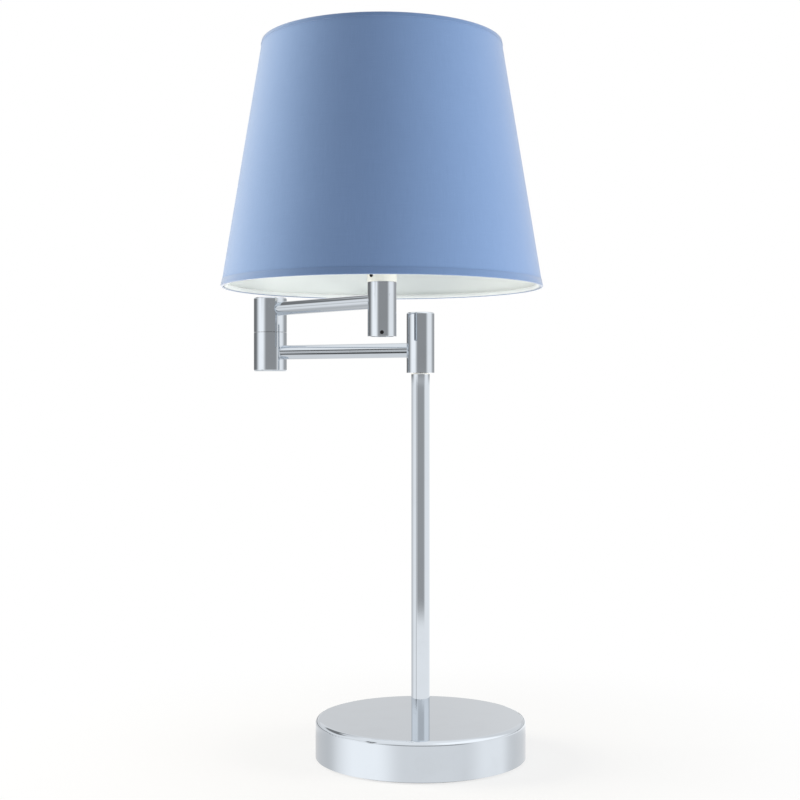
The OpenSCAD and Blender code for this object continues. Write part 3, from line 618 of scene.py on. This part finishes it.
SKIRT_WALL = 2 * MM
TENON_STEP = 1.35 * MM      # the skirt's foot is this much slimmer, where it screws into the cap
CARRIER_T = 1.5 * MM        # the shade's carrier ring, which rests on the shoulder
LIP_R = 0.6 * MM
HOLDER_THREAD = (0.7 * MM, 2.5 * MM)        # depth and pitch
CAP_THREAD = (0.75 * MM, 2.82 * MM)
CAP_THREAD_R = 6.95 * MM
CAP_TIP_R = 2.5 * MM


def threaded_profile(radius, depth, pitch, z0, z1):
    """The outline of a rounded thread from z0 up to z1."""
    turns = int((z1 - z0) / pitch)
    points = []
    for i in range(turns * 6 + 1):
        z = z0 + pitch * i / 6
        points.append((radius - depth * (0.5 - 0.5 * math.cos(TURN * i / 6)), z))
    points.append((radius, z1))
    return points


def build_lampholder_skirt():
    """The lampholder's upper half, with the thread that the shade's ring nut runs on."""
    low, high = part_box("lampholder_skirt")
    centre = (low + high) / 2
    outer = (high.x - low.x) / 2
    inner = outer - SKIRT_WALL
    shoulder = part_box("shade_spider")[1].z - CARRIER_T
    tenon = outer - TENON_STEP
    profile = [(inner, low.z), (tenon - 0.3 * MM, low.z), (tenon, low.z + 0.3 * MM), (tenon, shoulder),
               (outer - 0.3 * MM, shoulder)]
    profile += threaded_profile(outer - 0.05 * MM, *HOLDER_THREAD, shoulder + 0.6 * MM, high.z - 3 * MM)
    profile += arc(outer - LIP_R, high.z - LIP_R, LIP_R, 0, 90)
    profile += arc(inner + LIP_R, high.z - LIP_R, LIP_R, 90, 180)
    piece = lathe("lampholder_threaded_skirt", profile, centre, CREAM, steps=128, sharp_deg=40.0)
    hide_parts("lampholder_skirt")
    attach(piece, "upper_arm")


def build_bulb_cap():
    """The bulb's rolled screw cap with its centre contact."""
    low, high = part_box("bulb_cap")
    centre = (low + high) / 2
    neck_r = (high.x - low.x) / 2
    thread_top = high.z - 3 * MM
    profile = [(0.05 * MM, low.z), (CAP_TIP_R - 0.5 * MM, low.z), (CAP_TIP_R, low.z + 0.5 * MM),
               (CAP_TIP_R + 0.3 * MM, low.z + 1.5 * MM), (CAP_THREAD_R - 1.6 * MM, low.z + 1.6 * MM)]
    profile += threaded_profile(CAP_THREAD_R, *CAP_THREAD, low.z + 2.6 * MM, thread_top)
    profile += [(neck_r, high.z - 0.05 * MM), (neck_r - 0.3 * MM, high.z), (0.05 * MM, high.z)]
    piece = lathe("bulb_screw_cap", profile, centre, NICKEL, steps=96, sharp_deg=45.0)
    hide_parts("bulb_cap")
    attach(piece, "upper_arm")


# ---------------------------------------------------------------- base

FRAY = 0.25 * MM
FRAY_REACH = 1 * MM         # points this close to the pad's edge are frayed


def build_felt_pad():
    """The felt pad, with a soft, slightly uneven edge."""
    source = NODES["base_pad"]
    bm = bmesh.new()
    bm.from_mesh(source.data)
    bmesh.ops.remove_doubles(bm, verts=bm.verts, dist=1e-6)
    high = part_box("base_pad")[1]
    for vert in bm.verts:
        out = vert.co.xy.length
        if out > high.x - FRAY_REACH:
            fray = FRAY * noise.noise(vert.co * 400)
            vert.co.x *= 1 + (fray - FRAY) / out
            vert.co.y *= 1 + (fray - FRAY) / out
    piece = finish_mesh("felt_pad", bm, FELT)
    soft = piece.modifiers.new("soft_edge", "BEVEL")
    soft.width = 0.35 * MM
    soft.segments = 3
    soft.limit_method = "ANGLE"
    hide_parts("base_pad")
    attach(piece, "base")


# ---------------------------------------------------------------- studio

FLOOR_R = 3.0
FLOOR_GLOW = 0.72           # how much of the floor's white by the base is its own
GLOW_FROM, GLOW_TO = 0.10, 0.45         # distances from the post, past which all of it is
BOUNCE_NEAR = 1.31          # how strongly the floor lights what stands over it
BOUNCE_FAR = 0.52
BOUNCE_FROM, BOUNCE_TO = 0.40, 1.00


def add_floor():
    """A plain white floor that runs out into the white of the background."""
    bm = bmesh.new()
    bmesh.ops.create_circle(bm, cap_ends=True, radius=FLOOR_R, segments=96)
    mesh = bpy.data.meshes.new("studio_floor")
    bm.to_mesh(mesh)
    bm.free()
    material, t, shader = new_material("studio_floor")
    where = t.add("ShaderNodeTexCoord").outputs["Object"]
    length = t.add("ShaderNodeVectorMath", operation="LENGTH")
    t.join(where, length.inputs[0])
    away = t.remap(length.outputs["Value"], GLOW_FROM, GLOW_TO, FLOOR_GLOW, 1.0, smooth=True)
    shader.inputs["Base Color"].default_value = (0.93, 0.93, 0.93, 1.0)
    shader.inputs["Roughness"].default_value = 0.9
    bounce = t.remap(length.outputs["Value"], BOUNCE_FROM, BOUNCE_TO, BOUNCE_NEAR, BOUNCE_FAR,
                     smooth=True)
    strength = t.add("ShaderNodeMix", data_type="FLOAT")
    t.join(t.add("ShaderNodeLightPath").outputs["Is Camera Ray"], strength.inputs[0])
    t.join(bounce, strength.inputs[2])
    strength.inputs[3].default_value = 1.0
    glow = t.add("ShaderNodeEmission")
    t.join(strength.outputs[0], glow.inputs["Strength"])
    mix = t.add("ShaderNodeMixShader")
    t.join(away, mix.inputs[0])
    t.join(shader.outputs[0], mix.inputs[1])
    t.join(glow.outputs[0], mix.inputs[2])
    t.join(mix.outputs[0], material.node_tree.nodes["Material Output"].inputs["Surface"])
    mesh.materials.append(material)
    floor = bpy.data.objects.new("studio_floor", mesh)
    floor.location.z = -0.2 * MM
    floor.visible_glossy = False
    bpy.context.scene.collection.objects.link(floor)


# Name, azimuth, elevation, distance, width, height, power and colour. The sides' are warm, the top's white.
SOFTBOXES = (
    ("softbox_right", 74, -8, 1.3, 0.8, 1.1, 20.8, (1.0, 0.985, 0.92)),
    ("softbox_left", -100, 3, 1.3, 0.8, 1.1, 25.4, (1.0, 0.94, 0.80)),
    ("softbox_top", 0, 89, 1.3, 1.2, 1.2, 6.0, (1.0, 1.0, 1.0)),
)


def add_softbox(name, azimuth, elevation, distance, width, height, power, colour):
    """A square studio light aimed at the lamp. Azimuth 0 is on the camera's side, 90 to the right."""
    aim = Vector((SHADE_AXIS.x, SHADE_AXIS.y, 0.40))
    flat = math.cos(math.radians(elevation))
    turn = math.radians(azimuth)
    way = Vector((flat * math.sin(turn), -flat * math.cos(turn), math.sin(math.radians(elevation))))
    data = bpy.data.lights.new(name, "AREA")
    data.shape = "RECTANGLE"
    data.size = width
    data.size_y = height
    data.energy = power
    data.color = colour
    light = bpy.data.objects.new(name, data)
    light.location = aim + way * distance
    light.rotation_euler = way.to_track_quat("Z", "Y").to_euler()
    light.visible_glossy = False
    light.visible_camera = False
    bpy.context.scene.collection.objects.link(light)


# What the chrome sees round the room: windows of light and dark cards, as (azimuth, half width, softness,
# elevation, half height, softness, level). Azimuth 0 is behind the camera, positive to the right, degrees.
# Upright cylinders see the low elevations: the base's wall, then the post, then the hubs above it.
ROOM = (
    # overhead white, and the white round the base's rounded edge
    (0.0, 180.0, 1.0, 78.0, 24.0, 10.0, 1.15),
    (-10.0, 95.0, 30.0, 40.0, 24.0, 10.0, 1.12),
    (62.0, 44.0, 30.0, 36.0, 24.0, 12.0, 1.42),
    # behind, over the base's top
    (180.0, 40.0, 30.0, 13.2, 2.8, 2.0, 0.79),
    (-180.0, 40.0, 30.0, 13.2, 2.8, 2.0, 0.79),
    (173.0, 3.0, 7.0, 13.2, 2.8, 2.0, 0.87),
    # the base's wall
    (-150.0, 40.0, 30.0, -14.8, 1.9, 0.8, 0.74),
    (-64.0, 32.0, 40.0, -14.8, 1.9, 0.8, 1.29),
    (14.0, 34.0, 40.0, -14.8, 1.9, 0.8, 0.97),
    (84.0, 24.0, 30.0, -14.8, 1.9, 0.8, 1.15),
    (150.0, 40.0, 30.0, -14.8, 1.9, 0.8, 0.84),
    # the post
    (0.0, 180.0, 1.0, -6.0, 6.9, 0.6, 1.12),
    (-140.0, 34.0, 40.0, -6.0, 6.9, 0.6, 0.78),
    (2.0, 48.0, 30.0, -3.6, 5.0, 1.2, 0.44),
    # the hubs and the elbow
    (0.0, 180.0, 1.0, 3.3, 2.5, 0.6, 1.32),
    (100.0, 40.0, 20.0, 3.3, 2.5, 0.6, 1.16),
    (9.0, 46.0, 30.0, 3.3, 2.5, 0.6, 0.385),
    (-141.0, 47.0, 44.0, 3.3, 2.5, 0.6, 0.23),
    (148.0, 40.0, 36.0, 3.3, 2.5, 0.6, 0.47),
    # a dark card level with the lower arm
    (-56.0, 5.8, 4.4, 15.4, 9.8, 6.0, 0.06),
    (-57.8, 7.5, 10.0, -29.0, 12.6, 1.6, 0.12),
    (-54.8, 3.4, 3.0, -6.0, 6.9, 0.6, 0.55),
    # the post's own image in the base's top
    (0.0, 118.0, 20.0, 13.0, 0.9, 0.5, 1.20),
    (6.0, 40.0, 24.0, 13.0, 0.9, 0.5, 0.80),
    # the upper arm's top and underside
    (-136.0, 28.0, 8.0, 33.5, 7.5, 5.0, 0.25),
    (-137.0, 33.0, 10.0, -31.0, 11.0, 6.0, 0.66),
)
ROOM_LEVEL = 0.93           # the room's level where it has no window
AMBIENT = 0.28              # the fill on matt surfaces


def add_world():
    """White for the camera, an even fill for matt surfaces, and the room for what is shiny."""
    world = bpy.data.worlds.new("studio")
    bpy.context.scene.world = world
    world.use_nodes = True
    world.cycles.sampling_method = "NONE"
    t = Tree(world.node_tree)
    backdrop = world.node_tree.nodes["Background"]
    parts = t.add("ShaderNodeSeparateXYZ")
    t.join(t.add("ShaderNodeTexCoord").outputs["Generated"], parts.inputs[0])
    x, y, z = parts.outputs
    azimuth = t.math("DEGREES", t.math("ARCTAN2", x, t.math("MULTIPLY", y, -1.0)))
    elevation = t.math("DEGREES", t.math("ARCSINE", z))

    def window(value, centre, half, soft):
        off = t.math("ABSOLUTE", t.math("SUBTRACT", value, centre))
        return t.remap(off, half - soft / 2, half + soft / 2, 1.0, 0.0, smooth=True)

    level = ROOM_LEVEL
    for az, az_half, az_soft, el, el_half, el_soft, target in ROOM:
        mask = t.math("MULTIPLY", window(azimuth, az, az_half, az_soft),
                      window(elevation, el, el_half, el_soft))
        mix = t.add("ShaderNodeMix", data_type="FLOAT")
        t.join(mask, mix.inputs[0])
        t.feed(mix.inputs[2], level)
        t.feed(mix.inputs[3], target)
        level = mix.outputs[0]
    path = t.add("ShaderNodeLightPath")
    shiny = t.add("ShaderNodeMix", data_type="FLOAT")
    t.join(path.outputs["Is Glossy Ray"], shiny.inputs[0])
    shiny.inputs[2].default_value = AMBIENT
    t.join(level, shiny.inputs[3])
    seen = t.add("ShaderNodeMix", data_type="FLOAT")
    t.join(path.outputs["Is Camera Ray"], seen.inputs[0])
    t.join(shiny.outputs[0], seen.inputs[2])
    seen.inputs[3].default_value = 1.0
    t.join(seen.outputs[0], backdrop.inputs["Strength"])
    backdrop.inputs["Color"].default_value = (1.0, 1.0, 1.0, 1.0)


def add_studio():
    add_floor()
    add_world()
    for softbox in SOFTBOXES:
        add_softbox(*softbox)
    bpy.context.scene.view_settings.view_transform = "Standard"


# ---------------------------------------------------------------- the whole lamp

add_camera()
finish_cad_nodes()
build_shade()
build_spoke_welds()
build_lampholder_skirt()
build_bulb_cap()
build_felt_pad()
add_studio()
